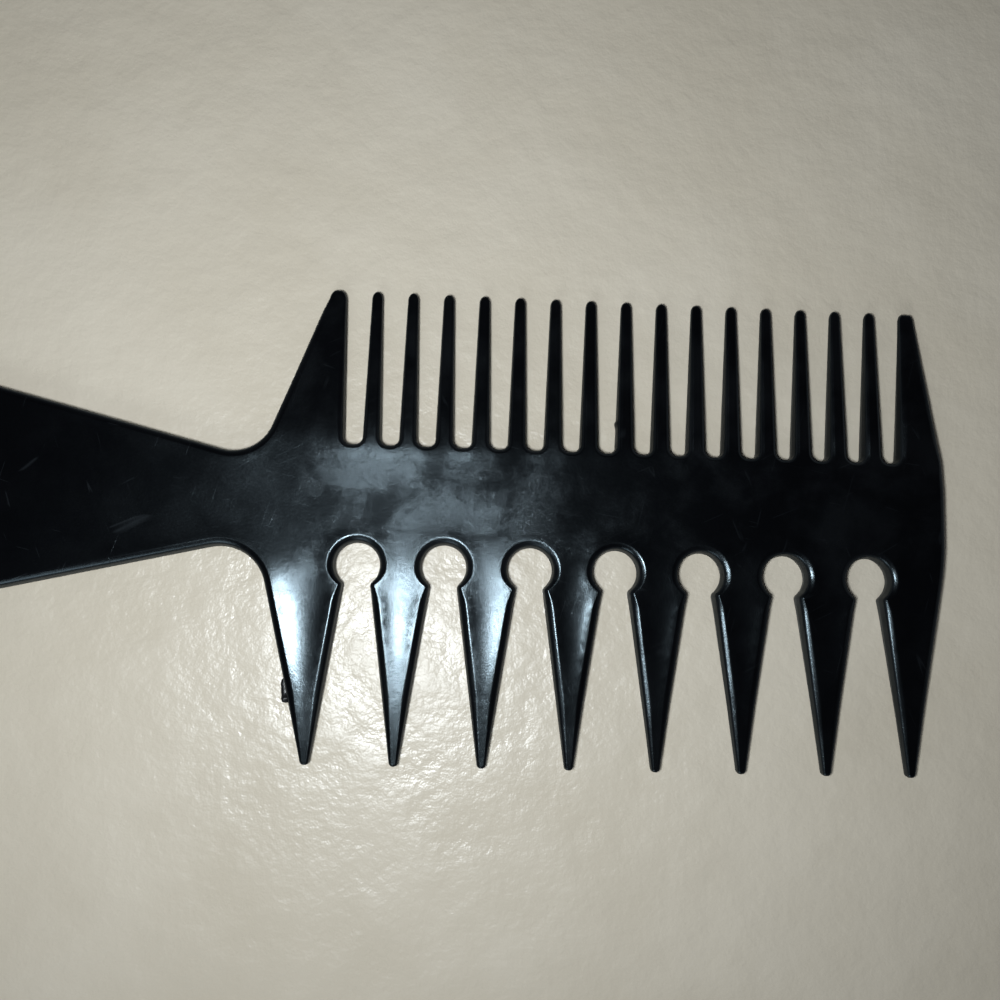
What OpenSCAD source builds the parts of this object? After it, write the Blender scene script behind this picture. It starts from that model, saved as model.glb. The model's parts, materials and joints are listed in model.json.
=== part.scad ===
// Two-sided styling comb with a flared handle, one injection moulding in black plastic.
// Narrow teeth along one edge, wide "fishbone" teeth with keyhole gaps along the other.
// The moulding is drawn here as its named regions, which meet face to face.
//
// X runs along the comb from the handle to the far end, Y towards the narrow teeth, Z up.
// The comb lies flat on its face, and the origin is under the middle of its outline.

/* [Plate] */
// thickness of the spine and the handle
plate_t = 4; // [3:0.1:6]
// lean of the side walls away from the parting line, each way, in degrees
draft = 9; // [3:0.5:14]
// height of the upright strip that the two mould halves leave round the middle of every wall
land = 0.4; // [0.2:0.05:0.8]
// depth of the spine between the roots of the narrow gaps and the tops of the keyholes
spine_depth = 15.4; // [12:0.2:22]

/* [Narrow teeth] */
// number of narrow teeth, counting the two stout end ones
fine_count = 17; // [9:1:17]
// distance between neighbouring narrow teeth
fine_pitch = 5.7; // [5.2:0.1:6.4]
// length of a narrow tooth from the bottom of its gap
fine_length = 24.8; // [15:0.2:35]
// width of a narrow tooth at the root
fine_root_w = 2.96; // [2.2:0.02:3.4]
// width of a narrow tooth at the tip line
fine_tip_w = 1.7; // [1:0.05:2]
// thickness of a narrow tooth at the tip
fine_tip_t = 1; // [0.8:0.1:2]
// lean of the outer edge of the first narrow tooth, next to the handle, in degrees
fine_first_lean = 20.5; // [10:0.5:24]
// extra width of the two stout end teeth at the tip line
fine_end_extra = 0.7; // [0.2:0.05:1.2]

/* [Wide teeth] */
// number of wide teeth, counting the two end ones
wide_count = 8; // [4:1:8]
// distance between neighbouring wide teeth
wide_pitch = 13.37; // [12.5:0.1:15]
// length of a wide tooth from the top of its keyhole to its tip
wide_length = 33.9; // [26:0.2:45]
// diameter of the round end of a keyhole gap
keyhole_d = 6.92; // [5.4:0.02:7.6]
// width of the pinched neck of a keyhole gap
keyhole_neck = 4.04; // [3.2:0.02:4.8]
// how much is trimmed off the sharp nose at each side of the pinched neck
nose_trim = 0.7; // [0.3:0.1:1.2]
// width of a wide tooth at the tip line
wide_tip_w = 1.3; // [0.8:0.1:2]
// thickness of a wide tooth at the tip
wide_tip_t = 1.8; // [1:0.1:3]
// position of the first wide tooth along X, from the first narrow tooth
wide_offset = -2.37; // [-2.6:0.01:-2]
// lean of the outer edge of the first wide tooth, next to the handle, in degrees
wide_first_lean = 14; // [8:0.5:18]

/* [Far end] */
// distance from the middle of the last narrow tooth to the upright end edge
end_reach = 5.9; // [4.5:0.1:7.5]
// length of the upright end edge above the keyhole tops
end_upright = 13.2; // [8:0.2:15]

/* [Handle] */
// length of the handle from the neck to its free end
handle_length = 74.9; // [50:0.5:110]
// lean of the handle's edge on the side of the narrow teeth, in degrees
handle_lean_fine = 13.9; // [8:0.1:16]
// lean of the handle's edge on the side of the wide teeth, in degrees
handle_lean_wide = 13.2; // [8:0.1:16]
// width of the handle at the neck
neck_w = 15.45; // [12:0.05:20]
// distance of the narrow-tooth edge of the neck below the narrow gap roots
neck_drop = 1.25; // [0.5:0.05:3]
// radius of the neck's hollow below the first narrow tooth
neck_r_fine = 6.3; // [4:0.1:8]
// radius of the neck's hollow above the first wide tooth
neck_r_wide = 7; // [4:0.1:8]
// radius of the bow of the handle's free end
handle_end_r = 60; // [40:1:150]
// radius of the two corners of the free end
handle_corner_r = 9; // [3:0.5:14]

/* [Gate mark] */
// distance from the tip line of the wide teeth to the lower end of the broken-off moulding gate
gate_height = 9.6; // [6:0.2:14]
// length of the gate mark along the tooth
gate_length = 3.8; // [1:0.1:5]
// how far the lower end of the gate mark stands out of the tooth's edge
gate_reach = 1.1; // [0.6:0.1:1.4]
// thickness of the gate mark
gate_t = 1.2; // [0.8:0.1:1.6]

/* [Hidden] */

$fn = 64;
half_t = plate_t / 2;
half_land = land / 2;
over = 3;
hair = 0.01;
plastic = [0.03, 0.03, 0.035];

// Everything is drawn about the middle plane, with the first narrow tooth on x = 0
// and the bottoms of the narrow gaps on y = 0.
fine_gap_r = (fine_pitch - fine_root_w) / 2;
fine_tooth_l = fine_length - fine_gap_r;
fine_slope = (fine_root_w - fine_tip_w) / 2 / fine_tooth_l;
fine_last_x = (fine_count - 1) * fine_pitch;

end_x = fine_last_x + end_reach;
end_top_y = end_upright - spine_depth;

keyhole_r = keyhole_d / 2;
keyhole_y = -spine_depth - keyhole_r;
joint_y = -spine_depth + 1.2;
nose_drop = sqrt(keyhole_r * keyhole_r - keyhole_neck * keyhole_neck / 4);
nose_y = keyhole_y - nose_drop;
wide_tip_y = -spine_depth - wide_length;
wide_half_w = (wide_pitch - keyhole_neck) / 2;
wide_slope = (wide_half_w - wide_tip_w / 2) / (nose_y - wide_tip_y);
wide_last_x = wide_offset + (wide_count - 1) * wide_pitch;

neck_mid_x = -18;
handle_end_x = neck_mid_x - handle_length;
neck_point_fine = [neck_mid_x, -neck_drop];
neck_point_wide = [neck_mid_x, -neck_drop - neck_w];
handle_axis_y = -neck_drop - neck_w / 2;

mid_x = (end_x + handle_end_x) / 2;
mid_y = (fine_length + wide_tip_y) / 2;

// Points and lines. A line is a point on it and its heading in degrees.
function along(p, a, d) = p + d * [cos(a), sin(a)];
function left_of(p, a, d) = p + d * [-sin(a), cos(a)];
function cross2(u, v) = u[0] * v[1] - u[1] * v[0];
function meet(p, a, q, b) =
    along(p, a, cross2(q - p, [cos(b), sin(b)]) / cross2([cos(a), sin(a)], [cos(b), sin(b)]));
function foot(c, p, a) = along(p, a, (c - p) * [cos(a), sin(a)]);
function line_x(p, a, y) = p[0] + (y - p[1]) * cos(a) / sin(a);

// The four long edges that meet in the hollows of the neck.
fine_edge_a = 90 - fine_first_lean;
fine_edge_p = [-(fine_tip_w / 2 + fine_end_extra), fine_length];
wide_edge_a = -90 + wide_first_lean;
wide_edge_p = [wide_offset - wide_tip_w / 2, wide_tip_y];
grip_fine_a = -handle_lean_fine;
grip_wide_a = handle_lean_wide;

// Centres of the two hollows, and where each hollow runs into its edges.
hollow_fine = meet(
    left_of(neck_point_fine, grip_fine_a, neck_r_fine), grip_fine_a,
    left_of(fine_edge_p, fine_edge_a, neck_r_fine), fine_edge_a);
hollow_wide = meet(
    left_of(neck_point_wide, grip_wide_a, -neck_r_wide), grip_wide_a,
    left_of(wide_edge_p, wide_edge_a, -neck_r_wide), wide_edge_a);
grip_fine_end = foot(hollow_fine, neck_point_fine, grip_fine_a);
grip_wide_end = foot(hollow_wide, neck_point_wide, grip_wide_a);
fine_edge_start = foot(hollow_fine, fine_edge_p, fine_edge_a);
wide_edge_start = foot(hollow_wide, wide_edge_p, wide_edge_a);
neck_x = min(grip_fine_end[0], grip_wide_end[0]);
head_x = max(fine_edge_start[0], wide_edge_start[0]);

// Height at which the outer edge of the first wide tooth crosses the joint with the neck.
wide_edge_y = wide_edge_p[1] + (head_x - wide_edge_p[0]) * tan(wide_edge_a);

// Outer edges of the two last teeth, from the end edge to the tip lines.
last_fine_tip_x = fine_last_x + fine_tip_w / 2 + fine_end_extra;
last_fine_a = 90 + atan((end_x - last_fine_tip_x) / (fine_length - end_top_y));
last_wide_tip_x = wide_last_x + wide_tip_w / 2;
last_wide_a = -90 - atan((end_x - last_wide_tip_x) / wide_length);

// ---- shared shapes ----

// Everything left of a straight edge that starts at p and heads along a, with the wall drafted both ways.
// It stands a hair clear of the edge, so that the upright strip round the middle is the outline's own.
module edge_cut(p, a, length) {
    translate([p[0], p[1], 0])
        rotate([90, 0, a + 90])
            linear_extrude(length)
                wall_profile(hair, 4 * over);
}

// A round opening of radius r about c, with the wall drafted both ways. open_a is a heading that has no wall.
module round_cut(c, r, open_a) {
    translate([c[0], c[1], 0])
        rotate([0, 0, open_a])
            rotate_extrude()
                mirror([1, 0])
                    wall_profile(-r, r);
}

// Section through a cut from the wall at x to x + depth. The wall leans away towards both faces of the plate.
module wall_profile(x, depth) {
    rise = half_t + 1 - half_land;
    grow = rise * tan(draft);
    polygon([
        [x, half_land],
        [x - grow, half_land + rise],
        [x + depth, half_land + rise],
        [x + depth, -half_land - rise],
        [x - grow, -half_land - rise],
        [x, -half_land]
    ]);
}

// An outline on the middle plane made as thick as the plate.
module plate() {
    translate([0, 0, -half_t])
        linear_extrude(plate_t)
            children();
}

// Keeps a tooth between its two sloping faces. It is full thickness up to y0 and tip_t thick at y1.
module thinned(y0, y1, tip_t) {
    grow = (half_t - tip_t / 2) / (y1 - y0);
    back = y0 < y1 ? -2 * keyhole_d : 2 * keyhole_d;
    past = y0 < y1 ? over : -over;
    intersection() {
        children();
        translate([handle_end_x, 0, 0])
            rotate([90, 0, 90])
                linear_extrude(end_x - handle_end_x + over)
                    polygon([
                        [y0 + back, half_t],
                        [y0, half_t],
                        [y1 + past, tip_t / 2 - grow * past],
                        [y1 + past, -tip_t / 2 + grow * past],
                        [y0, -half_t],
                        [y0 + back, -half_t]
                    ]);
    }
}

// Takes the corner off an outline and leaves an arc of radius r about c, from point s to point e.
module corner_cap(c, r, s, e, apex) {
    difference() {
        polygon([c, s, apex, e]);
        translate(c)
            circle(r);
    }
}

// Outline of a pointed tooth with a round tip. y runs outwards from 0 to the tip line at tip,
// and the two edges are x = l + dl * y and x = r + dr * y.
module tooth_outline(l, dl, r, dr, tip) {
    sl = sqrt(1 + dl * dl);
    sr = sqrt(1 + dr * dr);
    tip_r = (r - l + (dr - dl) * tip) / (sl + sr + dr - dl);
    c = [l + dl * (tip - tip_r) + tip_r * sl, tip - tip_r];
    polygon([
        [l, 0],
        [r, 0],
        c + tip_r * [1, -dr] / sr,
        c,
        c + tip_r * [-1, dl] / sl
    ]);
    translate(c)
        circle(tip_r);
}

// ---- the handle and the neck ----

module handle_outline() {
    end_c = [handle_end_x + handle_end_r, handle_axis_y];
    far = handle_length + 2 * over;
    difference() {
        intersection() {
            polygon([
                [neck_x, neck_point_fine[1] - (neck_x - neck_point_fine[0]) * tan(handle_lean_fine)],
                along(neck_point_fine, grip_fine_a, -far),
                along(neck_point_wide, grip_wide_a, -far),
                [neck_x, neck_point_wide[1] + (neck_x - neck_point_wide[0]) * tan(handle_lean_wide)]
            ]);
            translate(end_c)
                circle(handle_end_r, $fn = 256);
        }
        handle_corner(neck_point_fine, grip_fine_a, -1, end_c);
        handle_corner(neck_point_wide, grip_wide_a, 1, end_c);
    }
}

// One rounded corner of the free end, between the bowed end about end_c and the edge of the handle that
// passes p and heads along a. inward is 1 where the handle lies left of that edge and -1 where it lies right.
module handle_corner(p, a, inward, end_c) {
    q = left_of(p, a, inward * handle_corner_r);
    u = [cos(a), sin(a)];
    d = q - end_c;
    reach = handle_end_r - handle_corner_r;
    t = -(d * u) - sqrt((d * u) * (d * u) - d * d + reach * reach);
    c = along(q, a, t);
    n1 = [-sin(a), cos(a)] * -inward;
    n2 = (c - end_c) / reach;
    beyond = 1.1;
    apex = c + (n1 + n2) * beyond * handle_corner_r / (1 + n1 * n2);
    corner_cap(c, handle_corner_r, c + handle_corner_r * n1, c + handle_corner_r * n2, apex);
}

module grip_cuts() {
    far = handle_length + 4 * over;
    edge_cut(along(grip_fine_end, grip_fine_a, -far), grip_fine_a, far);
    edge_cut(grip_wide_end, grip_wide_a + 180, far);
}

module handle() {
    color(plastic)
        difference() {
            plate()
                handle_outline();
            grip_cuts();
        }
}

module neck() {
    color(plastic)
        difference() {
            plate()
                polygon([
                    [neck_x, neck_point_fine[1] - (neck_x - neck_point_fine[0]) * tan(handle_lean_fine)],
                    grip_fine_end,
                    fine_edge_start,
                    [head_x, fine_edge_start[1]],
                    [head_x, wide_edge_y],
                    wide_edge_start,
                    grip_wide_end,
                    [neck_x, neck_point_wide[1] + (neck_x - neck_point_wide[0]) * tan(handle_lean_wide)]
                ]);
            grip_cuts();
            round_cut(hollow_fine, neck_r_fine, 120);
            round_cut(hollow_wide, neck_r_wide, -120);
        }
}

// ---- the spine ----

module spine() {
    color(plastic)
        difference() {
            plate()
                polygon([
                    [head_x, joint_y],
                    [end_x, joint_y],
                    [end_x, end_top_y],
                    [line_x([end_x, end_top_y], last_fine_a, fine_gap_r), fine_gap_r],
                    [head_x, fine_gap_r]
                ]);
            for (i = [0 : fine_count - 2])
                round_cut([(i + 0.5) * fine_pitch, fine_gap_r], fine_gap_r, 90);
            end_cut();
            last_fine_cut();
        }
}

module end_cut() {
    edge_cut([end_x, end_top_y + over], -90, spine_depth + end_top_y + over);
}

// ---- the narrow teeth ----

module last_fine_cut() {
    edge_cut([last_fine_tip_x, fine_length], last_fine_a + 180, fine_length - end_top_y + over);
}

// Outline of narrow tooth number i, counted from 0 at the handle.
module fine_outline(i) {
    first = i == 0;
    last = i == fine_count - 1;
    first_dx = tan(fine_first_lean);
    last_dx = -tan(last_fine_a - 90);
    half_w = fine_root_w / 2;
    l = first ? fine_edge_p[0] - first_dx * fine_tooth_l : i * fine_pitch - half_w;
    dl = first ? first_dx : fine_slope;
    r = last ? last_fine_tip_x - last_dx * fine_tooth_l : i * fine_pitch + half_w;
    dr = last ? last_dx : -fine_slope;
    translate([0, fine_gap_r])
        intersection() {
            tooth_outline(l, dl, r, dr, fine_tooth_l);
            translate([head_x, 0])
                square([end_x - head_x, fine_length]);
        }
}

module fine_side_cuts(i) {
    a = atan(fine_slope);
    x = i * fine_pitch;
    half_w = fine_root_w / 2;
    if (i == 0)
        edge_cut(fine_edge_start, fine_edge_a, fine_length + over);
    else
        edge_cut([x - half_w, fine_gap_r], 90 - a, fine_length + over);
    if (i == fine_count - 1)
        last_fine_cut();
    else
        edge_cut(along([x + half_w, fine_gap_r], 90 + a, fine_length + over), a - 90, fine_length + over);
}

module fine_tooth(i) {
    if (i < fine_count)
        color(plastic)
            thinned(fine_gap_r, fine_length, fine_tip_t)
                difference() {
                    plate()
                        fine_outline(i);
                    fine_side_cuts(i);
                }
}

// ---- the wide teeth ----

// Outline of wide tooth number j, counted from 0 at the handle, before its keyholes are cut.
// The flanks run on a little way into the keyholes.
module wide_outline(j) {
    x = wide_offset + j * wide_pitch;
    first = j == 0;
    last = j == wide_count - 1;
    run_on = 1;
    base_y = nose_y + run_on;
    blade_l = base_y - wide_tip_y;
    half_w = wide_half_w + wide_slope * run_on;
    first_dx = tan(wide_first_lean);
    last_dx = tan(last_wide_a + 90);
    l = first ? wide_edge_p[0] - first_dx * blade_l : x - half_w;
    r = last ? last_wide_tip_x - last_dx * blade_l : x + half_w;
    top_l = first ? l : x - wide_pitch / 2;
    top_r = last ? end_x : x + wide_pitch / 2;
    intersection() {
        union() {
            translate([0, base_y])
                mirror([0, 1])
                    tooth_outline(l, first ? first_dx : wide_slope, r, last ? last_dx : -wide_slope, blade_l);
            polygon([
                [top_l, joint_y],
                [top_l, keyhole_y],
                [l, base_y],
                [r, base_y],
                [top_r, last ? -spine_depth : keyhole_y],
                [top_r, joint_y]
            ]);
        }
        translate([first ? head_x : top_l - over, wide_tip_y - over])
            square([wide_pitch + 3 * over, wide_length + 3 * over]);
    }
}

// Takes the sharp corner off the nose below the keyhole at hx, with a flat cut that runs on past both ends.
// side is 1 for the tooth to the right of the keyhole and -1 for the tooth to the left.
module nose_cut(hx, side) {
    past = 0.4;
    n = [keyhole_neck / 2, -nose_drop];
    low = n + nose_trim * [wide_slope, -1] / sqrt(1 + wide_slope * wide_slope);
    a = atan2(n[1], n[0]) + nose_trim / keyhole_r * 180 / PI;
    high = keyhole_r * [cos(a), sin(a)];
    heading = atan2(high[1] - low[1], high[0] - low[0]);
    translate([hx, keyhole_y, 0])
        mirror([side < 0 ? 1 : 0, 0, 0])
            edge_cut(along(low, heading, -past), heading, norm(high - low) + 2 * past);
}

module wide_tooth(j) {
    x = wide_offset + j * wide_pitch;
    left_hole = x - wide_pitch / 2;
    right_hole = x + wide_pitch / 2;
    a = atan(wide_slope);
    l = wide_length;
    has_left = j > 0;
    has_right = j < wide_count - 1;
    if (j < wide_count)
        color(plastic)
            thinned(nose_y, wide_tip_y, wide_tip_t)
                difference() {
                    plate()
                        wide_outline(j);
                    if (has_left) {
                        nose_cut(left_hole, 1);
                        round_cut([left_hole, keyhole_y], keyhole_r, -90);
                        edge_cut(along([x - wide_half_w, nose_y], a - 90, l), a + 90, l + 1);
                    }
                    if (has_right) {
                        nose_cut(right_hole, -1);
                        round_cut([right_hole, keyhole_y], keyhole_r, -90);
                        edge_cut(along([x + wide_half_w, nose_y], 90 - a, 1), -90 - a, l + 1);
                    }
                    if (!has_left)
                        edge_cut(along(wide_edge_start, wide_edge_a, l), wide_edge_a + 180, l);
                    if (!has_right) {
                        end_cut();
                        edge_cut([end_x, -spine_depth], last_wide_a, l + over);
                    }
                }
}

// ---- the gate mark ----

// The broken-off stub of the moulding gate, on the outer edge of the first wide tooth. It tapers up the edge
// and ends in a small knob at its lower end.
module gate_mark() {
    p = along(wide_edge_p, wide_edge_a, -gate_height);
    knob_r = gate_reach * 0.45;
    color(plastic)
        difference() {
            translate([p[0], p[1], 0])
                rotate([0, 0, wide_edge_a + 180])
                    union() {
                        translate([0, 0, -gate_t / 2])
                            linear_extrude(gate_t)
                                polygon([
                                    [knob_r * 0.4, -gate_reach],
                                    [knob_r * 0.4, gate_reach * 0.8],
                                    [gate_length, gate_reach * 0.45],
                                    [gate_length, -gate_reach]
                                ]);
                        translate([knob_r, gate_reach - knob_r, -gate_t * 0.6])
                            cylinder(h = gate_t * 1.2, r = knob_r, $fn = 24);
                    }
            wide_tooth(0);
        }
}

// ---- the comb ----

translate([-mid_x, -mid_y, half_t]) {
    handle();
    neck();
    spine();
    for (i = [0 : 16])
        fine_tooth(i);
    for (j = [0 : 7])
        wide_tooth(j);
    gate_mark();
}
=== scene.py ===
"""Looks of a black two-sided styling comb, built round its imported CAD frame.

The comb is one moulding. Its outline is drawn once, a rounded rim is laid inside it, and the faces are
filled in and sink a little between the rims. The finished skin is then cut at the joints between the CAD
nodes, so that each node has a closed piece of its own whose shading runs on into its neighbours without
a seam.
"""

import json
import math

import bpy
import numpy as np
from mathutils import Euler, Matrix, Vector
from mathutils.geometry import delaunay_2d_cdt


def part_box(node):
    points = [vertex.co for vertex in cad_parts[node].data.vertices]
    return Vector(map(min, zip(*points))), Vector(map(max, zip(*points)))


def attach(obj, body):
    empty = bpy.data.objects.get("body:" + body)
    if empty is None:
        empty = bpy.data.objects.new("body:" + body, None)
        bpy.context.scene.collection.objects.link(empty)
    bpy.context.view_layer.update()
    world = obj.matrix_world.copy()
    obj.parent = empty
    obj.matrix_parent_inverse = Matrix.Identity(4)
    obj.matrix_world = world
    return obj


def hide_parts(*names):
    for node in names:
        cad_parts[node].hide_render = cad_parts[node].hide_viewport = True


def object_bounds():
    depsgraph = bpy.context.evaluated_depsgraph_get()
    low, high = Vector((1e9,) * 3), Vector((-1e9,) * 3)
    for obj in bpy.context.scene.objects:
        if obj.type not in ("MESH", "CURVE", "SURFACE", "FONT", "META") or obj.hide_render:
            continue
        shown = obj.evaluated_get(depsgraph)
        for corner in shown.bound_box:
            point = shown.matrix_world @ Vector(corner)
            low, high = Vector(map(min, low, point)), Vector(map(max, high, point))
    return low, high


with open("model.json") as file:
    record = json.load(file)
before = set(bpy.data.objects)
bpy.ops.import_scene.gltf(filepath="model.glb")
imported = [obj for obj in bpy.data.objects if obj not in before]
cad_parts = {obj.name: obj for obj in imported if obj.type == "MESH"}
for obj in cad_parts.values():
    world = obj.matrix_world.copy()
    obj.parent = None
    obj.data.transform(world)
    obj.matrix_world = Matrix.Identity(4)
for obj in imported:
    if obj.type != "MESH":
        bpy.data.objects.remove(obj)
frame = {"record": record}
cad_box = [list(corner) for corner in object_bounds()]

MM = 0.001

# ---- dimensions of the comb, in millimetres and degrees ----

FINE_COUNT, WIDE_COUNT = 17, 8
FINE_TIP_W = 1.7          # width of a narrow tooth at the tip line
FINE_TIP_HALF_T = 0.5     # half its thickness there
FINE_TIP_R = 0.82
FINE_ROOT_R = 1.15        # corner radius at the bottom of a narrow gap
FINE_FIRST_LEAN = 20.5    # outer edge of the first narrow tooth
STOUT_EXTRA = 0.7         # extra width of the two end teeth at the tip line
STOUT_TIP_R = (1.1, 0.8)  # corners of the first and of the last narrow tooth
TIP_STRETCH = 1.55        # how much longer than round the narrow tips are
WIDE_TIP_W = 1.3
WIDE_TIP_R = 0.72
WIDE_TIP_HALF_T = 0.9
WIDE_FIRST_LEAN = 14.0
KEYHOLE_R = 3.46
KEYHOLE_NECK = 4.04       # width of the pinched neck below the round hole
NOSE_R = 0.8              # rounding of the noses at that neck
END_UPRIGHT = 13.2        # upright end edge, up from the level of the keyhole tops
END_BEND_R = 45.0         # soft bends above and below the upright end edge
HANDLE_LEAN_FINE, HANDLE_LEAN_WIDE = 13.9, 13.2
NECK_W = 15.45            # width at the neck, NECK_BACK behind the first narrow tooth
NECK_BACK = 18.0
NECK_DROP = 1.25          # drop of the neck's upper edge below the bottoms of the narrow gaps
HOLLOW_R_FINE, HOLLOW_R_WIDE = 6.3, 7.0
HANDLE_END_R, HANDLE_CORNER_R = 60.0, 9.0

# ---- the moulded surface, in millimetres ----

RIM = 1.3                 # width of the rounded rim on the spine and handle
RIM_SHARE = 0.6           # width of the rim on a narrow tooth, as a share of its half width
NOSE_RIM = 0.76           # width of the rim round a nose
# edge of the upright strip at the parting line, as shares of the rim's width and the half thickness
LAND = (0.02, 0.1)
WALL_TOP = (0.15, 0.66)   # the same for the top of the drafted wall above it
BEVEL_END = 0.86          # where the bevel above the wall ends on a level strip, as a share of the width
SINK_BROAD, SINK_BROAD_REACH = 0.17, 2.2    # how far broad faces have sunk, and how far in they level out
SINK_WIDE, SINK_WIDE_REACH = 0.6, 2.6       # the same for the thick wide teeth
GATE_ROOT = 0.4           # how far the gate stub reaches into the tooth
JOINT_CLEARANCE = 0.8     # height of the joint under the spine above the rims of the keyholes
FLASH_TOOTH = 9           # the narrow tooth with a speck of flash on its left flank
FLASH_UP = 3.4            # height of the flash above the foot of the tooth
FLASH_PROUD, FLASH_HALF_L = 0.27, 0.45
FACE_STEP = 0.8           # spacing of the mesh on the faces
EDGE_STEP = 0.9           # spacing along straight edges
ARC_STEP = math.radians(9)

# ---- positions, from the frame ----


def box_mm(node):
    """Lowest and highest corner of a CAD node, in millimetres."""
    low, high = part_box(node)
    return np.array(low) / MM, np.array(high) / MM


def opening_mm(name):
    """Middle of one of the record's openings, in millimetres."""
    opening = next(o for o in frame["record"]["physics"]["openings"] if o["name"] == name)
    return np.mean(opening["box_m"], axis=0) / MM


low_2, high_2 = box_mm("fine_tooth_02")
low_16 = box_mm("fine_tooth_16")[0]
FINE_PITCH = (low_16[0] - low_2[0]) / (16 - 2)
FINE_X = (low_2[0] + high_2[0]) / 2 - FINE_PITCH + FINE_PITCH * np.arange(FINE_COUNT)
FINE_ROOT_W = high_2[0] - low_2[0]
FINE_BASE_Y, FINE_TIP_Y = low_2[1], high_2[1]
GAP_Y = FINE_BASE_Y - (FINE_PITCH - FINE_ROOT_W) / 2

WIDE_TIP_Y = box_mm("wide_tooth_2")[0][1]
HOLE_X = np.array([box_mm(f"wide_tooth_{j}")[1][0] for j in range(1, WIDE_COUNT)])
HOLE_Y = opening_mm("keyhole_1")[1]
WIDE_PITCH = HOLE_X[1] - HOLE_X[0]
WIDE_X = HOLE_X[0] - WIDE_PITCH / 2 + WIDE_PITCH * np.arange(WIDE_COUNT)
NOSE_Y = HOLE_Y - math.sqrt(KEYHOLE_R ** 2 - KEYHOLE_NECK ** 2 / 4)
WIDE_HALF_W = (WIDE_PITCH - KEYHOLE_NECK) / 2

HANDLE_END_X, END_X = cad_box[0][0] / MM, cad_box[1][0] / MM
HALF_T = (cad_box[1][2] - cad_box[0][2]) / 2 / MM
NECK_MID_X = FINE_X[0] - NECK_BACK
HANDLE_AXIS_Y = GAP_Y - NECK_DROP - NECK_W / 2


# ---- plane geometry ----


def direction(angle):
    return np.array([math.cos(angle), math.sin(angle)])


def left_of(v):
    return np.array([-v[1], v[0]])


def meet(p, u, q, v):
    """Where the line through p along u crosses the line through q along v."""
    s, _ = np.linalg.solve(np.array([u, -v]).T, np.asarray(q) - p)
    return np.asarray(p) + s * u


def line(p, q):
    return {"from": np.asarray(p, float), "to": np.asarray(q, float)}


def arc(centre, radius, start, sweep):
    """An arc from angle start through sweep, which is negative where the arc bulges into the plastic."""
    return {"centre": np.asarray(centre, float), "radius": radius, "start": start, "sweep": sweep}


def rounded(corners):
    """Lines and arcs through a chain of (point, radius) corners. The first and last point are plain ends."""
    parts, at = [], np.asarray(corners[0][0], float)
    for (before, _), (corner, radius), (after, _) in zip(corners, corners[1:], corners[2:]):
        corner = np.asarray(corner, float)
        u, v = corner - before, after - corner
        u, v = u / np.linalg.norm(u), v / np.linalg.norm(v)
        turn = math.atan2(u[0] * v[1] - u[1] * v[0], u @ v)
        tangent = corner - u * radius * math.tan(abs(turn) / 2)
        parts.append(line(at, tangent))
        at = tangent
        if radius > 0:
            side = math.copysign(1, turn)
            centre = tangent + side * radius * left_of(u)
            start = math.atan2(*(tangent - centre)[::-1])
            parts.append(arc(centre, radius, start, turn))
            at = centre + radius * direction(start + turn)
    parts.append(line(at, corners[-1][0]))
    return parts


def sample(part):
    """Points along a line or arc and the directions into the plastic there, without the last point."""
    if "from" in part:
        run = part["to"] - part["from"]
        length = np.linalg.norm(run)
        if length < 1e-6:
            return np.zeros((0, 2)), np.zeros((0, 2))
        count = max(1, round(length / EDGE_STEP))
        share = np.arange(count)[:, None] / count
        return part["from"] + share * run, np.repeat([left_of(run / length)], count, axis=0)
    most = min(ARC_STEP, EDGE_STEP / part["radius"])
    count = 2 * max(1, math.ceil(abs(part["sweep"]) / most / 2))
    angle = part["start"] + part["sweep"] * np.arange(count) / count
    out = np.stack([np.cos(angle), np.sin(angle)], axis=1)
    return part["centre"] + part["radius"] * out, -math.copysign(1, part["sweep"]) * out


# ---- the outline ----


def nose(hole_x):
    """Arc that rounds the nose left of a keyhole, and the flank's point where it starts."""
    flank_foot = np.array([hole_x - WIDE_PITCH / 2 + WIDE_TIP_W / 2, WIDE_TIP_Y])
    flank = np.array([hole_x - KEYHOLE_NECK / 2, NOSE_Y]) - flank_foot
    flank /= np.linalg.norm(flank)
    hole = np.array([hole_x, HOLE_Y])
    start = flank_foot + NOSE_R * left_of(flank) - hole
    half_b, c = start @ flank, start @ start - (KEYHOLE_R + NOSE_R) ** 2
    centre = hole + start + (-half_b - math.sqrt(half_b ** 2 - c)) * flank
    tangent = centre - NOSE_R * left_of(flank)
    first = math.atan2(*(tangent - centre)[::-1])
    last = math.atan2(*(hole - centre)[::-1])
    return arc(centre, NOSE_R, first, (last - first) % math.tau), tangent


def mirrored(part, hole_x):
    """An arc on the other side of a keyhole, run in the same sense round the outline."""
    centre = np.array([2 * hole_x - part["centre"][0], part["centre"][1]])
    return arc(centre, part["radius"], math.pi - part["start"] - part["sweep"], part["sweep"])


def keyhole(hole_x):
    """The noses of a keyhole with the round hole between them, and where they start on the two flanks."""
    left, tangent = nose(hole_x)
    right = mirrored(left, hole_x)
    end = left["start"] + left["sweep"] + math.pi
    sweep = -((2 * end - math.pi) % math.tau)
    far = np.array([2 * hole_x - tangent[0], tangent[1]])
    return [left, arc((hole_x, HOLE_Y), KEYHOLE_R, end, sweep), right], tangent, far


def wide_tip(x):
    """The two corners at the end of a wide tooth."""
    return [([x - WIDE_TIP_W / 2, WIDE_TIP_Y], WIDE_TIP_R), ([x + WIDE_TIP_W / 2, WIDE_TIP_Y], WIDE_TIP_R)]


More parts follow.
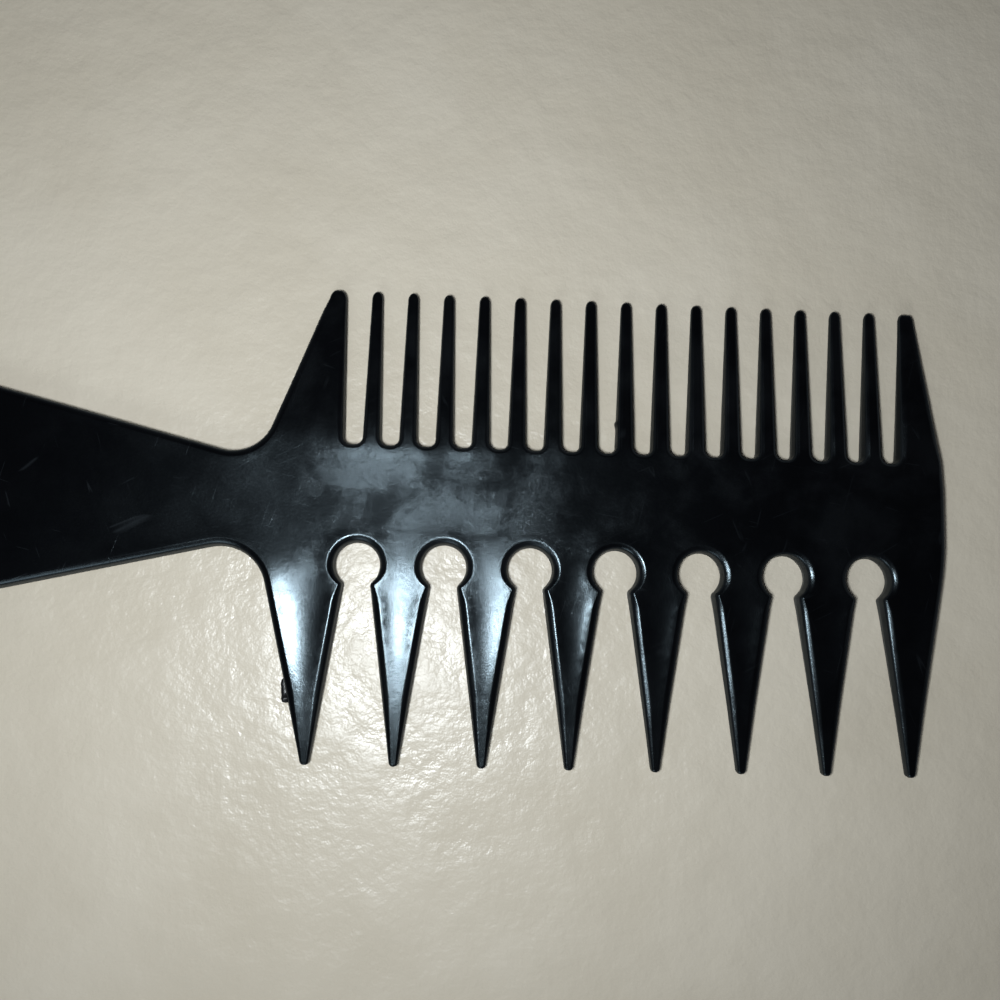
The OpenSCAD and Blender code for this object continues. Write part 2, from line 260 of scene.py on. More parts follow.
def pointed(xy):
    """The points with the round ends of the narrow teeth drawn out a little."""
    end, blend = FINE_TIP_W / 2, 2 * FINE_TIP_W
    down = FINE_TIP_Y - xy[:, 1]
    drawn = np.interp(down, [0, end, blend], [0, TIP_STRETCH * end, blend])
    return np.column_stack([xy[:, 0], FINE_TIP_Y - np.where(down < blend, drawn, down)])


def flash_stations(x):
    """Plain points down the left flank of the narrow tooth at x, close together where it carries flash."""
    tip, foot = np.array([x - FINE_TIP_W / 2, FINE_TIP_Y]), np.array([x - FINE_ROOT_W / 2, GAP_Y])
    height = FINE_BASE_Y + FLASH_UP + FLASH_HALF_L * np.linspace(2.4, -2.4, 13)
    share = (height - tip[1]) / (foot[1] - tip[1])
    return [(tip + s * (foot - tip), 0) for s in share]


def flash(xy):
    """How far the speck of flash stands proud of the outline."""
    x = FINE_X[FLASH_TOOTH - 1] - FINE_PITCH / 4
    away = (xy[:, 1] - FINE_BASE_Y - FLASH_UP) / FLASH_HALF_L
    return FLASH_PROUD * np.exp(-away ** 2 - ((xy[:, 0] - x) / (FINE_PITCH / 6)) ** 8)


def fine_row():
    """Corners of the narrow teeth from the far end back to the handle."""
    corners = []
    for i in reversed(range(FINE_COUNT)):
        x, last, first = FINE_X[i], i == FINE_COUNT - 1, i == 0
        right = x + FINE_TIP_W / 2 + (STOUT_EXTRA if last else 0)
        left = x - FINE_TIP_W / 2 - (STOUT_EXTRA if first else 0)
        radius = STOUT_TIP_R[0] if first else STOUT_TIP_R[1] if last else FINE_TIP_R
        corners += [([right, FINE_TIP_Y], radius), ([left, FINE_TIP_Y], radius)]
        if i == FLASH_TOOTH - 1:
            corners += flash_stations(x)
        if not first:
            corners += [([x - FINE_ROOT_W / 2, GAP_Y], FINE_ROOT_R)]
            corners += [([FINE_X[i - 1] + FINE_ROOT_W / 2, GAP_Y], FINE_ROOT_R)]
    return corners


def handle_corner(p, u, inward):
    """Corner between an edge of the handle, through p along u, and the tangent of the bowed end."""
    end_c = np.array([HANDLE_END_X + HANDLE_END_R, HANDLE_AXIS_Y])
    d = p + inward * HANDLE_CORNER_R * left_of(u) - end_c
    reach = HANDLE_END_R - HANDLE_CORNER_R
    t = -(d @ u) - math.sqrt((d @ u) ** 2 - d @ d + reach ** 2)
    out = (d + t * u) / reach
    return meet(p, u, end_c + HANDLE_END_R * out, left_of(out)), out


def outline():
    """The whole outline, counter-clockwise, as lines and arcs."""
    neck_fine = np.array([NECK_MID_X, GAP_Y - NECK_DROP])
    neck_wide = neck_fine - [0, NECK_W]
    grip_fine = direction(math.radians(-HANDLE_LEAN_FINE))
    grip_wide = direction(math.radians(HANDLE_LEAN_WIDE))
    first_fine = [FINE_X[0] - FINE_TIP_W / 2 - STOUT_EXTRA, FINE_TIP_Y]
    first_wide = [WIDE_X[0] - WIDE_TIP_W / 2, WIDE_TIP_Y]
    hollow_fine = meet(neck_fine, grip_fine, first_fine, direction(math.radians(90 - FINE_FIRST_LEAN)))
    hollow_wide = meet(neck_wide, grip_wide, first_wide, direction(math.radians(-90 + WIDE_FIRST_LEAN)))
    top, top_out = handle_corner(neck_fine, grip_fine, -1)
    bottom, bottom_out = handle_corner(neck_wide, grip_wide, 1)
    apex = meet(top, left_of(top_out), bottom, left_of(bottom_out))
    keyhole_top = HOLE_Y + KEYHOLE_R

    holes = [keyhole(x) for x in HOLE_X]
    parts = []
    for k, (arcs, _, far) in enumerate(holes[:-1]):
        parts += arcs + rounded([(far, 0), *wide_tip(WIDE_X[k + 1]), (holes[k + 1][1], 0)])
    arcs, _, far = holes[-1]
    parts += arcs + rounded([
        (far, 0), *wide_tip(WIDE_X[-1]),
        ([END_X, keyhole_top], END_BEND_R), ([END_X, keyhole_top + END_UPRIGHT], END_BEND_R),
        *fine_row(),
        (hollow_fine, HOLLOW_R_FINE), (top, HANDLE_CORNER_R), (apex, HANDLE_END_R), (bottom, HANDLE_CORNER_R),
        (hollow_wide, HOLLOW_R_WIDE), *wide_tip(WIDE_X[0]), (holes[0][1], 0),
    ])
    return parts


# ---- the joints between the pieces ----


def smooth(x):
    """0 below 0, 1 above 1, and an even curve between."""
    x = np.clip(x, 0, 1)
    return x * x * (3 - 2 * x)


def rim_width(xy):
    """Width of the rounded rim at points of the outline."""
    x, y = xy.T
    broad = RIM / RIM_SHARE
    fine_half = np.interp(y, [GAP_Y - 2, GAP_Y, FINE_TIP_Y], [broad, FINE_ROOT_W / 2, FINE_TIP_W / 2])
    stout_half = np.interp(
        y, [GAP_Y - 2, GAP_Y, GAP_Y + 4, FINE_TIP_Y - 4, FINE_TIP_Y],
        [broad, FINE_ROOT_W / 2, broad, broad, (FINE_TIP_W + STOUT_EXTRA) / 2])
    stout = (x < FINE_X[0] + FINE_PITCH / 2) | (x > FINE_X[-1] - FINE_PITCH / 2)
    wide_half = np.interp(y, [WIDE_TIP_Y, NOSE_Y], [WIDE_TIP_W / 2, WIDE_HALF_W])
    half = np.where(stout, stout_half, fine_half)
    half = np.minimum(half, np.where(x > FINE_X[0] - NECK_BACK, wide_half, broad))
    half = np.where(x < FINE_X[0] - NECK_BACK / 2, broad, half)
    side = np.concatenate([HOLE_X - KEYHOLE_NECK / 2, HOLE_X + KEYHOLE_NECK / 2])
    away = np.min(np.hypot(x[:, None] - side, y[:, None] - NOSE_Y), axis=1)
    near_nose = NOSE_RIM + (RIM - NOSE_RIM) * smooth(away / 3)
    return np.minimum(RIM_SHARE * half, near_nose)


def half_thickness(xy):
    """Half the comb's thickness. It falls off smoothly along the teeth."""
    x, y = xy.T
    head = smooth((x - FINE_X[0] + NECK_BACK) / (NECK_BACK / 2))
    fine = np.log1p(np.exp(y - FINE_BASE_Y))
    wide = np.log1p(np.exp(NOSE_Y - y))
    fine_fall = (HALF_T - FINE_TIP_HALF_T) / (FINE_TIP_Y - FINE_BASE_Y)
    wide_fall = (HALF_T - WIDE_TIP_HALF_T) / (NOSE_Y - WIDE_TIP_Y)
    return HALF_T - head * (fine_fall * fine + wide_fall * wide)


class Joints:
    """Where the comb's skin is cut into its pieces, from the places where the outline changes its course."""

    def __init__(self, parts, first, ring, edge):
        def ends(radius):
            found = [k for k, p in enumerate(parts) if p.get("radius") == radius]
            return [(first[k], first[(k + 1) % len(parts)]) for k in found]

        (fine_head, fine_grip), = ends(HOLLOW_R_FINE)
        (wide_grip, wide_head), = ends(HOLLOW_R_WIDE)
        bend_low, bend_high = ends(END_BEND_R)
        bend_mid = (bend_low[0] + bend_low[1]) // 2
        tops = [(a + b) // 2 for a, b in ends(KEYHOLE_R)]
        roots = ends(FINE_ROOT_R)
        self.fine_bases = [bend_high[1]] + [i for a, b in zip(roots[::2], roots[1::2]) for i in (a[0], b[1])]
        self.handle = np.array([edge[wide_grip], ring[wide_grip], ring[fine_grip], edge[fine_grip]])
        self.neck = np.array([edge[wide_head], ring[wide_head], ring[fine_head], edge[fine_head]])
        base_y, top_y = ring[self.fine_bases[-1]][1], ring[tops[0]][1] + JOINT_CLEARANCE
        over_holes = np.array([[x, top_y] for x in HOLE_X])
        last = self.fine_bases[1]
        self.fine = np.array([
            [self.neck_x(base_y), base_y], ring[last], ring[bend_high[1]], edge[bend_high[1]]])
        self.wide = np.array([[self.neck_x(top_y), top_y], over_holes[-1], ring[bend_mid], edge[bend_mid]])
        fine_pairs = [(self.fine_bases[k + 1], self.fine_bases[k]) for k in range(0, 2 * FINE_COUNT - 2, 2)]
        self.cuts = [ring[[a, b]] for a, b in fine_pairs]
        self.cuts += [np.array([ring[k], p]) for k, p in zip(tops, over_holes)]
        self.cuts += [
            self.handle[1:3],
            np.array([self.neck[1], self.wide[0], self.fine[0], self.neck[2]]),
            np.array([self.fine[0], ring[self.fine_bases[-1]]]),
            np.array([self.wide[0], *over_holes, ring[bend_mid]]),
        ]

    def neck_x(self, y):
        return float(np.interp(y, self.neck[:, 1], self.neck[:, 0]))

    def piece_at(self, xy):
        """Number of the piece that each point belongs to: 0 handle, 1 neck, 2 spine, then the narrow teeth
        and the wide teeth."""
        x, y = xy.T
        fine = 3 + np.clip(np.rint((x - FINE_X[0]) / FINE_PITCH), 0, FINE_COUNT - 1)
        wide = 3 + FINE_COUNT + np.searchsorted(HOLE_X, x)
        piece = np.full(len(x), 2)
        piece = np.where(y > np.interp(x, *self.fine.T), fine, piece)
        piece = np.where(y < np.interp(x, *self.wide.T), wide, piece)
        piece = np.where(x < np.interp(y, self.neck[:, 1], self.neck[:, 0]), 1, piece)
        return np.where(x < np.interp(y, self.handle[:, 1], self.handle[:, 0]), 0, piece).astype(int)


# ---- the skin ----


def rim_profile():
    """Section of the rim from the parting line up onto the face, as shares of width and half thickness."""
    wall = np.array([[0, 0], LAND, WALL_TOP])
    lean = np.subtract(WALL_TOP, LAND)
    # the bevel is one Bezier curve that leaves the wall along its lean
    handles = np.array([WALL_TOP, WALL_TOP + 0.4 * lean, [0.55 * BEVEL_END, 0.915], [BEVEL_END, 1]])
    t = np.linspace(0, 1, 9)[1:, None]
    weights = np.hstack([(1 - t) ** 3, 3 * t * (1 - t) ** 2, 3 * t * t * (1 - t), t ** 3])
    return np.vstack([wall, weights @ handles, [1, 1]])


def rows_inside(ring):
    """Points in rows across the area inside a closed line, evenly spread over each stretch."""
    x, y = ring.T
    x_next, y_next = np.roll(x, -1), np.roll(y, -1)
    spread = []
    levels = np.arange(y.min() + FACE_STEP / 2, y.max(), FACE_STEP * 0.87)
    for number, level in enumerate(levels):
        hit = (y <= level) != (y_next <= level)
        at = np.sort(x[hit] + (level - y[hit]) / (y_next[hit] - y[hit]) * (x_next[hit] - x[hit]))
        for start, end in zip(at[::2], at[1::2]):
            count = max(1, round((end - start) / FACE_STEP))
            shift = 0.5 if count == 1 else 0.25 + 0.5 * (number % 2)
            share = (np.arange(count) + shift) / count
            spread += [(start + (end - start) * s, level, count > 1) for s in share]
    return np.array(spread)


def clear_of(spread, fixed):
    """Those of the spread points that keep their distance from the fixed ones."""
    keep = []
    for block in np.array_split(spread, 40):
        gap = np.min(np.hypot(block[:, :1] - fixed[:, 0], block[:, 1:2] - fixed[:, 1]), axis=1)
        keep.append(block[gap > np.where(block[:, 2] > 0, 0.5 * FACE_STEP, 0.22 * FACE_STEP)])
    return np.concatenate(keep)[:, :2]


def cut_points(cuts, ring):
    """The cuts as new points, numbered on from the ring's own, and as edges between point numbers."""
    made, edges = [], []
    for cut in cuts:
        chain = []
        for p, q in zip(cut, cut[1:]):
            count = max(1, round(np.linalg.norm(q - p) / FACE_STEP))
            chain += [p + (q - p) * k / count for k in range(count)]
        chain.append(cut[-1])
        numbers = []
        for p in chain:
            known = np.concatenate([ring, np.array(made).reshape(-1, 2)])
            away = np.hypot(*(known - p).T)
            if away.min() < 1e-6:
                numbers.append(int(away.argmin()))
            else:
                numbers.append(len(known))
                made.append(p)
        edges += list(zip(numbers, numbers[1:]))
    return np.array(made), edges


def fill(ring, cuts):
    """Triangles over the area inside the ring that respect the cuts: the new points and the faces."""
    on_cuts, cut_edges = cut_points(cuts, ring)
    spread = clear_of(rows_inside(ring), np.concatenate([ring, on_cuts]))
    everything = np.concatenate([ring, on_cuts, spread])
    edges = [(k, (k + 1) % len(ring)) for k in range(len(ring))] + cut_edges
    _, _, faces, source, _, _ = delaunay_2d_cdt([Vector(p) for p in everything], edges, [], 1, 1e-7)
    origin = [min(s) for s in source]
    return everything[len(ring):], np.array([[origin[v] for v in f] for f in faces])


def sink(xy, triangles, fixed):
    """How far the face has sunk at each point: the shape of a sheet held at the rim that is pulled in against
    an even spring. Thick wide teeth sink the most, down their middles. The first fixed points are the rim."""
    corner = xy[triangles]
    rows, cols, weights = [], [], []
    for k in range(3):
        i, j = triangles[:, (k + 1) % 3], triangles[:, (k + 2) % 3]
        u, v = corner[:, (k + 1) % 3] - corner[:, k], corner[:, (k + 2) % 3] - corner[:, k]
        cot = np.sum(u * v, axis=1) / np.abs(u[:, 0] * v[:, 1] - u[:, 1] * v[:, 0])
        rows += [i, j]
        cols += [j, i]
        weights += [cot / 2, cot / 2]
    rows, cols, weights = np.concatenate(rows), np.concatenate(cols), np.concatenate(weights)
    a, b = corner[:, 1] - corner[:, 0], corner[:, 2] - corner[:, 0]
    third = np.abs(a[:, 0] * b[:, 1] - a[:, 1] * b[:, 0]) / 6
    mass = np.bincount(triangles.ravel(), np.repeat(third, 3), len(xy))
    wide = smooth((HOLE_Y - xy[:, 1]) / 5) * smooth((xy[:, 0] - NECK_MID_X) / 6)
    reach = SINK_BROAD_REACH + wide * (SINK_WIDE_REACH - SINK_BROAD_REACH)
    deepest = SINK_BROAD + wide * (SINK_WIDE - SINK_BROAD)
    spring = mass / reach ** 2
    diagonal = np.bincount(rows, weights, len(xy)) + spring
    free = np.arange(len(xy)) >= fixed

    def apply(h):
        return (diagonal * h - np.bincount(rows, weights * h[cols], len(xy))) * free

    load = spring * deepest * free
    depth, rest = np.zeros(len(xy)), load.copy()
    step, size = rest.copy(), rest @ rest
    for _ in range(400):
        pull = apply(step)
        share = size / (step @ pull)
        depth += share * step
        rest -= share * pull
        new_size = rest @ rest
        if new_size < 1e-20:
            break
        step, size = rest + new_size / size * step, new_size
    return depth


def build_skin():
    """The upper half of the comb's skin: its points and faces, the piece that each face belongs to, and how
    many points lie on the parting line."""
    parts = outline()
    sampled = [sample(p) for p in parts]
    first = np.concatenate([[0], np.cumsum([len(p) for p, _ in sampled])[:-1]])
    edge = np.concatenate([p for p, _ in sampled])
    inward = np.concatenate([n for _, n in sampled])
    width = rim_width(edge)[:, None]
    profile = rim_profile()
    count = len(edge)
    proud = flash(edge)[:, None]
    insets = [share * width - proud * max(0, 1 - 3 * share) for share, _ in profile]
    rings = [pointed(edge + inset * inward) for inset in insets]
    joints = Joints(parts, first, rings[-1], edge)

    inner, triangles = fill(rings[-1], joints.cuts)
    face_xy = np.concatenate([rings[-1], inner])
    thickness = half_thickness(face_xy)
    sunk = sink(face_xy, triangles, count) * thickness / HALF_T
    levels = [v * half_thickness(r) for r, (_, v) in zip(rings, profile)]
    heights = np.concatenate(levels[:-1] + [thickness - sunk])
    xy = np.concatenate(rings[:-1] + [face_xy])

    here, after = np.arange(count), (np.arange(count) + 1) % count
    strip = np.stack([here, after, count + after, count + here], axis=1)
    quads = [k * count + strip for k in range(len(profile) - 1)]
    edge_piece = joints.piece_at((edge + edge[after]) / 2)
    face_piece = joints.piece_at(face_xy[triangles].mean(axis=1))
    faces = [tuple(map(int, f)) for q in quads for f in q]
    faces += [tuple(int(v) + (len(profile) - 1) * count for v in f) for f in triangles]
    owner = np.concatenate([np.tile(edge_piece, len(quads)), face_piece])
    return np.column_stack([xy, heights]), faces, owner, count


def normals_of(points, faces):
    """Smooth normals of the skin at its points."""
    mesh = bpy.data.meshes.new("skin")
    mesh.from_pydata(points.tolist(), [], faces)
    normals = np.zeros(len(points) * 3, np.float32)
    mesh.vertex_normals.foreach_get("vector", normals)
    bpy.data.meshes.remove(mesh)
    return normals.reshape(-1, 3)


def piece_mesh(name, points, normals, faces, on_edge):
    """A closed mesh from some of the skin's upper faces, their mirror image below, and walls where it was
    cut. The first on_edge points lie on the parting line, which both halves share."""
    used = sorted({v for f in faces for v in f})
    upper = {v: k for k, v in enumerate(used)}
    lower, extra = {}, []
    for v in used:
        lower[v] = upper[v] if v < on_edge else len(used) + len(extra)
        if v >= on_edge:
            extra.append(v)
    flip = np.array([1, 1, -1])
    co = np.concatenate([points[used], points[extra] * flip]) + [0, 0, HALF_T]

    made, shading = [], []
    for f in faces:
        made += [[upper[v] for v in f], [lower[v] for v in reversed(f)]]
        shading += [normals[v] for v in f] + [normals[v] * flip for v in reversed(f)]
    sides = {(a, b) for f in faces for a, b in zip(f, f[1:] + f[:1])}
    for a, b in sorted(sides):
        if (b, a) in sides or (a < on_edge and b < on_edge):
            continue
        wall = [upper[b], upper[a], lower[a], lower[b]]
        wall = [v for k, v in enumerate(wall) if v != wall[k - 1]]
        out = np.array([points[b][1] - points[a][1], points[a][0] - points[b][0], 0])
        made.append(wall)
        shading += [out / np.linalg.norm(out)] * len(wall)

    mesh = bpy.data.meshes.new(name)
    mesh.from_pydata((co * MM).tolist(), [], made)
    mesh.polygons.foreach_set("use_smooth", np.ones(len(mesh.polygons), bool))
    mesh.normals_split_custom_set([tuple(map(float, n)) for n in shading])
    return mesh


def comb_pieces():
    """One closed piece for each named region of the moulding."""
    points, faces, owner, on_edge = build_skin()
    normals = normals_of(points, faces)
    nodes = ["handle", "neck", "spine"]
    nodes += [f"fine_tooth_{k:02d}" for k in range(1, FINE_COUNT + 1)]
    nodes += [f"wide_tooth_{k}" for k in range(1, WIDE_COUNT + 1)]
    made = {}
    for number, node in enumerate(nodes):
        mine = [faces[k] for k in np.flatnonzero(owner == number)]
        name = node + "_skin"
        made[node] = bpy.data.objects.new(name, piece_mesh(name, points, normals, mine, on_edge))
    return made


def gate_stub():
    """The broken-off gate on the edge of the first wide tooth: a torn sliver with a knob at its lower end."""
    low, high = box_mm("gate_mark")
    up = direction(math.radians(90 + WIDE_FIRST_LEAN))
    foot = meet([WIDE_X[0] - WIDE_TIP_W / 2, WIDE_TIP_Y], up, [0, low[1]], direction(0))
    length = (high[1] - low[1]) / up[1]
    # how far up the stub, how far it stands off the tooth, half its height
    sections = [
        (0.02, 0.5, 0.2), (0.06, 0.86, 0.44), (0.12, 1.02, 0.66), (0.2, 1.04, 0.74), (0.28, 0.94, 0.56),
        (0.35, 0.76, 0.36), (0.48, 0.82, 0.3), (0.62, 0.68, 0.34), (0.76, 0.62, 0.28), (0.88, 0.46, 0.26),
        (0.97, 0.2, 0.18)]
    around = 16
    turn = np.arange(around) * math.tau / around
    random = np.random.default_rng(4)
    made, faces = [], []
    for share, reach, rise in sections:
        torn = 1 - random.uniform(0, 0.1, around)
        out = -GATE_ROOT + (reach + GATE_ROOT) * (0.5 + 0.5 * np.cos(turn)) * torn
        z = HALF_T + rise * np.sign(np.sin(turn)) * np.abs(np.sin(turn)) ** 0.7 * torn
        at = foot + length * share * up + out[:, None] * left_of(up)
        made.append(np.column_stack([at, z]))
    made = np.concatenate(made)
    for k in range(len(sections) - 1):
        for a in range(around):
            b = (a + 1) % around
            faces.append([k * around + a, (k + 1) * around + a, (k + 1) * around + b, k * around + b])
    faces += [list(range(around)), list(reversed(range(len(made) - around, len(made))))]
    mesh = bpy.data.meshes.new("gate_stub")
    mesh.from_pydata((made * MM).tolist(), [], faces)
    mesh.polygons.foreach_set("use_smooth", np.ones(len(faces), bool))
    stub = bpy.data.objects.new("gate_stub", mesh)
    smoothing = stub.modifiers.new("rounded", "SUBSURF")
    smoothing.levels = smoothing.render_levels = 2
    return stub


# ---- materials ----


class Tree:
    """Short calls for building a node material."""

    def __init__(self, name):
        self.material = bpy.data.materials.new(name)
        self.material.use_nodes = True
        self.nodes, self.links = self.material.node_tree.nodes, self.material.node_tree.links
        self.nodes.clear()

    def add(self, kind, inputs=None, **settings):
        """A node with its settings and inputs. An input is a value or another node's output."""
        made = self.nodes.new("ShaderNode" + kind)
        for key, value in settings.items():
            setattr(made, key, value)
        for key, value in (inputs or {}).items():
            if isinstance(value, bpy.types.NodeSocket):
                self.links.new(value, made.inputs[key])
            else:
                made.inputs[key].default_value = value
        return made

    def math(self, operation, a, b=0.0, c=0.0):
        return self.add("Math", {0: a, 1: b, 2: c}, operation=operation).outputs[0]

    def noise(self, at, scale, detail, roughness=0.5, distortion=0.0):
        made = self.add("TexNoise", {
            "Vector": at, "Scale": scale, "Detail": detail, "Roughness": roughness, "Distortion": distortion})
        return made.outputs["Fac"]

    def ramp(self, value, low, high, out_low=0.0, out_high=1.0):
        """value spread from low..high to out_low..out_high, with soft ends."""
        limits = {"From Min": low, "From Max": high, "To Min": out_low, "To Max": out_high}
        made = self.add("MapRange", {"Value": value, **limits}, interpolation_type="SMOOTHSTEP")
        return made.outputs["Result"]

    def millimetres(self, turn=0.0, stretch=(1, 1, 1)):
        """The place on the object in millimetres, turned about Z and stretched."""
        place = self.add("TexCoord").outputs["Object"]
        scale = [s / MM for s in stretch]
        turned = self.add("Mapping", {"Vector": place, "Rotation": (0, 0, math.radians(turn))})
        return self.add("Mapping", {"Vector": turned.outputs["Vector"], "Scale": scale}).outputs["Vector"]

    def mix(self, share, a, b):
        """Colour a turning into colour b as share goes from 0 to 1."""
        made = self.add("Mix", data_type="RGBA")
        for socket, value in ((made.inputs[0], share), (made.inputs[6], a), (made.inputs[7], b)):
            if isinstance(value, bpy.types.NodeSocket):
                self.links.new(value, socket)
            else:
                socket.default_value = value
        return made.outputs[2]

    def bump(self, height):
        """Normals of a surface whose height is in millimetres."""
        return self.add("Bump", {"Height": height, "Distance": MM, "Strength": 1.0}).outputs["Normal"]

    def finish(self, shader):
        self.add("OutputMaterial", {"Surface": shader.outputs[0]})
        return self.material


def hairlines(tree, turn, along, across, rarity):
    """Fine straight scratches at one angle, about along long and across apart: 1 on one and 0 off them."""
    streak = tree.noise(tree.millimetres(turn, (1 / across, 0.1 / along, 0.02)), 1.0, 0.0)
    patch = tree.noise(tree.millimetres(turn, (1 / across, 1 / along, 1)), 1.0, 0.0)
    off = tree.math("ABSOLUTE", tree.math("SUBTRACT", streak, 0.5))
    thin = tree.ramp(off, 0.0, 0.012, 1.0, 0.0)
    return tree.math("MULTIPLY", thin, tree.ramp(patch, rarity, rarity + 0.08))


def handled(tree, at):
    """1 on the spine, which hair and hands have dulled the most, and less out on the teeth and the handle."""
    place = tree.add("SeparateXYZ", {"Vector": at}).outputs
    fine = tree.ramp(place["Y"], GAP_Y - 2, GAP_Y + 6, 1.0, 0.85)
    wide = tree.ramp(place["Y"], NOSE_Y - 4, HOLE_Y + 6, 0.4, 1.0)
    handle = tree.ramp(place["X"], NECK_MID_X + 6, NECK_MID_X + 22, 0.35, 1.0)
    return tree.math("MINIMUM", tree.math("MINIMUM", fine, wide), handle)


def dust_specks(tree, at):
    """Tiny pale specks, 1 on a speck and 0 off it."""
    cells = tree.add("TexVoronoi", {"Vector": at, "Scale": 0.25})
    speck = tree.ramp(cells.outputs["Distance"], 0.012, 0.03, 1.0, 0.0)
    draw = tree.add("SeparateColor", {"Color": cells.outputs["Color"]}).outputs[0]
    return tree.math("MULTIPLY", speck, tree.ramp(draw, 0.78, 0.82))


def black_plastic():
    """Moulded black plastic that has been in use: satin gloss with grain, scuffing, hairlines and dust.

    Most of the haze round a highlight comes from a height noise too fine to see, since the gloss of real
    mouldings is broken up like that; the roughness itself stays low. Upright walls are duller.
    """
    tree = Tree("black_plastic")
    at = tree.millimetres()
    haze = tree.noise(at, 14.0, 0.0)
    grain = tree.noise(at, 3.2, 1.0, 0.5)
    mottle = tree.noise(at, 0.5, 2.0, 0.45)
    cloud = tree.noise(at, 0.11, 5.0, 0.58, 0.2)
    swell = tree.noise(at, 0.06, 0.0)
    scratches = hairlines(tree, 16, 6.0, 2.6, 0.65)
    for more in ((-24, 5.0, 2.2, 0.67), (63, 7.0, 3.0, 0.66), (-78, 4.0, 2.4, 0.68)):
        scratches = tree.math("MAXIMUM", scratches, hairlines(tree, *more))
    x = tree.add("SeparateXYZ", {"Vector": at}).outputs["X"]
    scratches = tree.math("MULTIPLY", scratches, tree.ramp(x, NECK_MID_X - 12, NECK_MID_X + 4, 0.6, 0.3))
    dust = dust_specks(tree, at)

    scuffed = tree.math("MULTIPLY", tree.ramp(cloud, 0.37, 0.66), handled(tree, at))
    colour = tree.mix(scuffed, (0.0012, 0.0012, 0.0016, 1), (0.003, 0.0031, 0.0037, 1))
    colour = tree.mix(tree.math("MULTIPLY", scratches, 0.2), colour, (0.06, 0.07, 0.08, 1))
    colour = tree.mix(dust, colour, (0.35, 0.34, 0.31, 1))
    rough = tree.math("MULTIPLY_ADD", scuffed, 0.06, 0.165)
    rough = tree.math("MULTIPLY_ADD", grain, 0.04, rough)
    rough = tree.math("MULTIPLY_ADD", scratches, 0.02, rough)
    up = tree.add("SeparateXYZ", {"Vector": tree.add("TexCoord").outputs["Normal"]}).outputs["Z"]
    wall = tree.ramp(tree.math("ABSOLUTE", up), 0.3, 0.95, 1.0, 0.0)
    rough = tree.math("MULTIPLY_ADD", wall, 0.35, rough)
    rough = tree.math("MAXIMUM", rough, tree.math("MULTIPLY", dust, 0.9))

    height = tree.math("MULTIPLY", haze, tree.math("MULTIPLY_ADD", scuffed, 0.0105, 0.0042))
    height = tree.math("MULTIPLY_ADD", grain, 0.006, height)
    height = tree.math("MULTIPLY_ADD", mottle, 0.013, height)
    height = tree.math("MULTIPLY_ADD", swell, 0.35, height)
    height = tree.math("MULTIPLY_ADD", scratches, -0.01, height)
    shader = tree.add("BsdfPrincipled", {
        "Base Color": colour, "Roughness": rough, "Normal": tree.bump(height),
        "IOR": 1.5, "Specular Tint": (0.72, 0.9, 1.0, 1)})
    return tree.finish(shader)


def torn_plastic():
    """The same plastic where it was torn off: dull, ragged and a little whitened."""
    tree = Tree("torn_plastic")
    at = tree.millimetres()
    ragged = tree.noise(at, 2.2, 3.0, 0.6)
    colour = tree.mix(tree.ramp(ragged, 0.5, 0.75), (0.0025, 0.0025, 0.003, 1), (0.01, 0.011, 0.013, 1))
    shader = tree.add("BsdfPrincipled", {
        "Base Color": colour, "Roughness": tree.math("MULTIPLY_ADD", ragged, 0.3, 0.2),
        "Normal": tree.bump(tree.math("MULTIPLY", ragged, 0.09)), "IOR": 1.5})
    return tree.finish(shader)


def tile():
    """Pale cream glazed tile for the floor."""
    tree = Tree("pale_tile")
    at = tree.millimetres()
    wash = tree.noise(at, 0.02, 4.0, 0.6)
    ripple = tree.noise(at, 0.1, 5.0, 0.6)
    colour = tree.mix(tree.ramp(wash, 0.3, 0.7), (0.63, 0.56, 0.45, 1), (0.69, 0.62, 0.51, 1))
    shader = tree.add("BsdfPrincipled", {
        "Base Color": colour, "Roughness": tree.ramp(ripple, 0.3, 0.7, 0.26, 0.38),
        "Normal": tree.bump(tree.math("MULTIPLY", ripple, 0.7)), "IOR": 1.45})
    return tree.finish(shader)


# ---- the stage ----


def floor(material):
    """A wide, level pale floor under the comb."""
    reach, steps = 4000.0, 12
    grid = np.linspace(-reach, reach, steps + 1)
    x, y = np.meshgrid(grid, grid)
    co = np.column_stack([x.ravel(), y.ravel(), np.zeros(x.size)]) * MM
    corners = [k * (steps + 1) + c for k in range(steps) for c in range(steps)]
    faces = [[k, k + 1, k + steps + 2, k + steps + 1] for k in corners]
    mesh = bpy.data.meshes.new("floor")
    mesh.from_pydata(co.tolist(), [], faces)
    mesh.materials.append(material)
    made = bpy.data.objects.new("floor", mesh)
    bpy.context.scene.collection.objects.link(made)


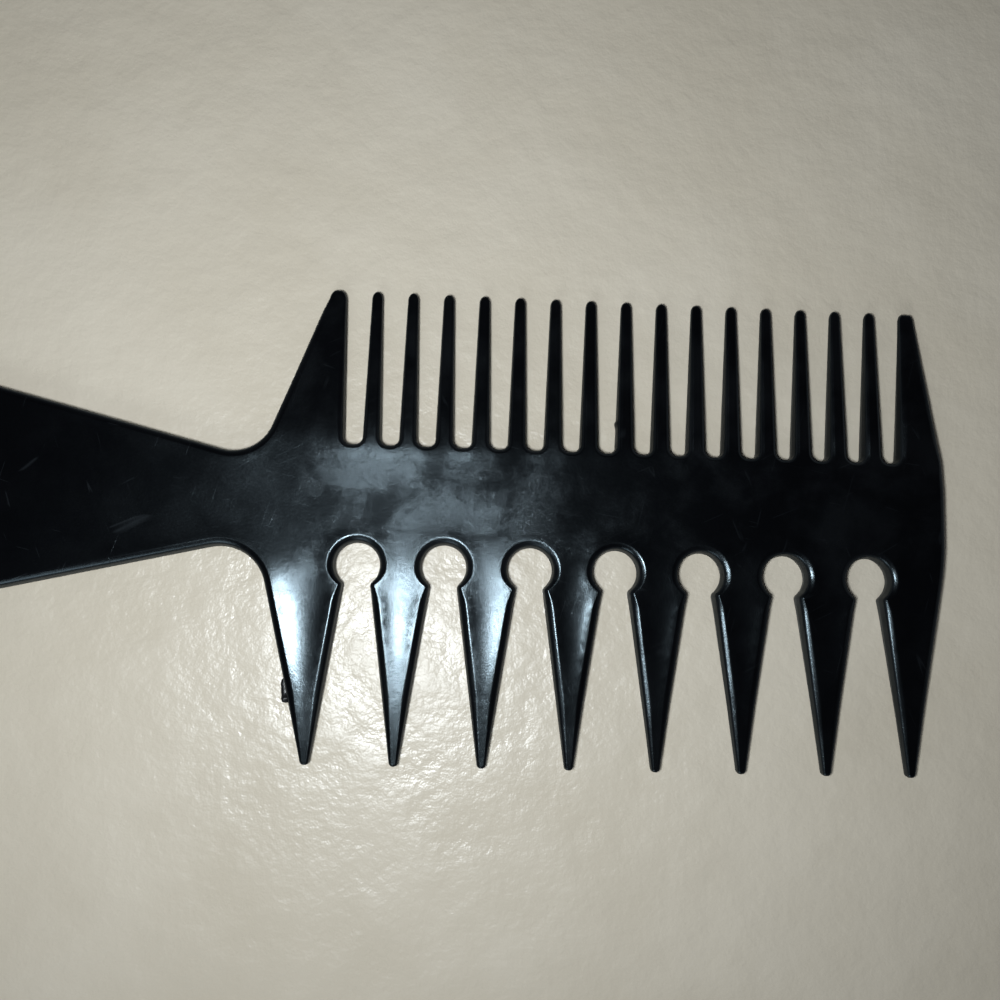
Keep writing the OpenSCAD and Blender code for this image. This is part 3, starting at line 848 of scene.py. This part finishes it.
def area_light(name, at, aim, size, power, colour):
    """A round soft light at a point in millimetres, turned towards another."""
    data = bpy.data.lights.new(name, "AREA")
    data.shape, data.size, data.energy, data.color = "DISK", size * MM, power, colour
    light = bpy.data.objects.new(name, data)
    light.location = Vector(at) * MM
    light.rotation_euler = (Vector(aim) - Vector(at)).to_track_quat("-Z", "Y").to_euler()
    light.visible_camera = False
    bpy.context.scene.collection.objects.link(light)


def camera():
    """The camera of the picture: held nearly straight above the head of the comb."""
    data = bpy.data.cameras.new("camera")
    data.sensor_width, data.lens = 36.0, 38.88
    data.clip_start, data.clip_end = 0.01, 10
    made = bpy.data.objects.new("camera", data)
    made.location = Vector((15.371, -15.372, 170.337)) * MM
    made.rotation_euler = Euler([math.radians(a) for a in (6.5725, -3.1247, 1.6073)])
    bpy.context.scene.collection.objects.link(made)
    bpy.context.scene.camera = made


def surroundings():
    """A dim room: dark straight above, paler towards the horizon."""
    world = bpy.data.worlds.new("room")
    world.use_nodes = True
    nodes, links = world.node_tree.nodes, world.node_tree.links
    place = nodes.new("ShaderNodeTexCoord")
    split = nodes.new("ShaderNodeSeparateXYZ")
    ramp = nodes.new("ShaderNodeValToRGB")
    horizon, overhead = ramp.color_ramp.elements
    horizon.position, horizon.color = 0.0, (0.33, 0.34, 0.35, 1)
    overhead.position, overhead.color = 0.7, (0.012, 0.0135, 0.016, 1)
    links.new(place.outputs["Generated"], split.inputs[0])
    links.new(split.outputs["Z"], ramp.inputs["Fac"])
    links.new(ramp.outputs["Color"], nodes["Background"].inputs["Color"])
    nodes["Background"].inputs["Strength"].default_value = 1.0
    bpy.context.scene.world = world


def main():
    plastic = black_plastic()
    pieces = comb_pieces()
    pieces["gate_mark"] = gate_stub()
    torn = torn_plastic()
    for node, piece in pieces.items():
        piece.data.materials.append(torn if node == "gate_mark" else plastic)
        bpy.context.scene.collection.objects.link(piece)
        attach(piece, "root")
        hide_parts(node)
    floor(tile())
    area_light("key", (0, -22, 168), (-10, 60, 0), 24, 0.285, (0.9, 0.96, 1.0))
    area_light("fill", (-150, -500, 420), (0, 0, 0), 260, 0.5, (0.85, 0.94, 1.0))
    surroundings()
    camera()
    bpy.context.scene.view_settings.view_transform = "Standard"


main()
